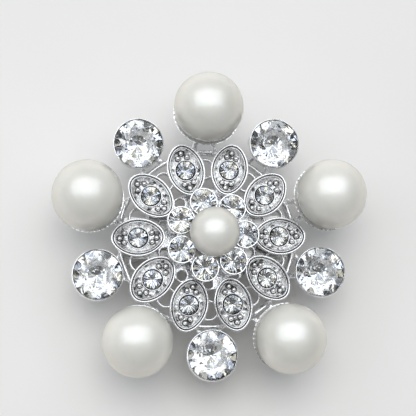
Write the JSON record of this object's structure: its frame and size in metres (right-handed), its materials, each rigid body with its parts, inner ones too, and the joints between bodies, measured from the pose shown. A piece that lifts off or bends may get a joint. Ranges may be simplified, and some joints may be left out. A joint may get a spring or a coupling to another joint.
{
  "type": "flower hair clip",
  "caption": "Flower-shaped hair clip of silver-plated oval petals set with pearls and cut crystal stones, on a small sprung barrette with a hinged arm.",
  "frame": {"origin": "middle of the flower, on the flat underside of the closing arm", "axes": "+Z out of the flower's face, +X along the barrette from its hinge to its latch"},
  "size_m": [0.054, 0.0527, 0.0239],
  "materials": {
    "silver_plate": "bright rhodium plate over cast white metal",
    "clip_steel": "nickel-plated stamped steel",
    "pearl": "pearl lacquer with a cream lustre",
    "crystal": "clear cut glass, foiled behind"
  },
  "bodies": {
    "flower": {"accent_stone_01": "crystal", "accent_stone_02": "crystal", "accent_stone_03": "crystal", "accent_stone_04": "crystal", "accent_stone_05": "crystal", "accent_stone_06": "crystal", "accent_stone_07": "crystal", "back_frame": "silver_plate", "centre_pearl": "pearl", "centre_pearl_cup": "silver_plate", "centre_rosette": "silver_plate", "clip_base": "clip_steel", "clip_rivets": "clip_steel", "edge_pearl_01": "pearl", "edge_pearl_02": "pearl", "edge_pearl_03": "pearl", "edge_pearl_04": "pearl", "edge_pearl_05": "pearl", "edge_pearl_cup_01": "silver_plate", "edge_pearl_cup_02": "silver_plate", "edge_pearl_cup_03": "silver_plate", "edge_pearl_cup_04": "silver_plate", "edge_pearl_cup_05": "silver_plate", "edge_stone_01": "crystal", "edge_stone_02": "crystal", "edge_stone_03": "crystal", "edge_stone_04": "crystal", "edge_stone_05": "crystal", "edge_stone_cup_01": "silver_plate", "edge_stone_cup_02": "silver_plate", "edge_stone_cup_03": "silver_plate", "edge_stone_cup_04": "silver_plate", "edge_stone_cup_05": "silver_plate", "hinge_pin": "clip_steel", "petal_01": "silver_plate", "petal_02": "silver_plate", "petal_03": "silver_plate", "petal_04": "silver_plate", "petal_05": "silver_plate", "petal_06": "silver_plate", "petal_07": "silver_plate", "petal_08": "silver_plate", "petal_09": "silver_plate", "petal_10": "silver_plate", "petal_stone_01": "crystal", "petal_stone_02": "crystal", "petal_stone_03": "crystal", "petal_stone_04": "crystal", "petal_stone_05": "crystal", "petal_stone_06": "crystal", "petal_stone_07": "crystal", "petal_stone_08": "crystal", "petal_stone_09": "crystal", "petal_stone_10": "crystal", "tension_bow": "clip_steel"},
    "closing_arm": {"clip_arm": "clip_steel"},
    "latch_upper": {"latch_prong_upper": "clip_steel"},
    "latch_lower": {"latch_prong_lower": "clip_steel"}
  },
  "joints": [
    {"name": "arm_hinge", "type": "hinge", "parent": "flower", "child": "closing_arm", "pos_m": [-0.0132, 0.0005, 0.00115], "axis": [0, 1, 0], "range_deg": [0, 100]},
    {"name": "latch_upper_squeeze", "type": "hinge", "parent": "flower", "child": "latch_upper", "pos_m": [0.0128, 0.0016, 0.0069], "axis": [-1, 0, 0], "range_deg": [0, 5], "stiffness_Nm_per_rad": 0.02},
    {"name": "latch_lower_squeeze", "type": "hinge", "parent": "flower", "child": "latch_lower", "pos_m": [0.0128, -0.0006, 0.0069], "axis": [1, 0, 0], "range_deg": [0, 5], "stiffness_Nm_per_rad": 0.02}
  ]
}
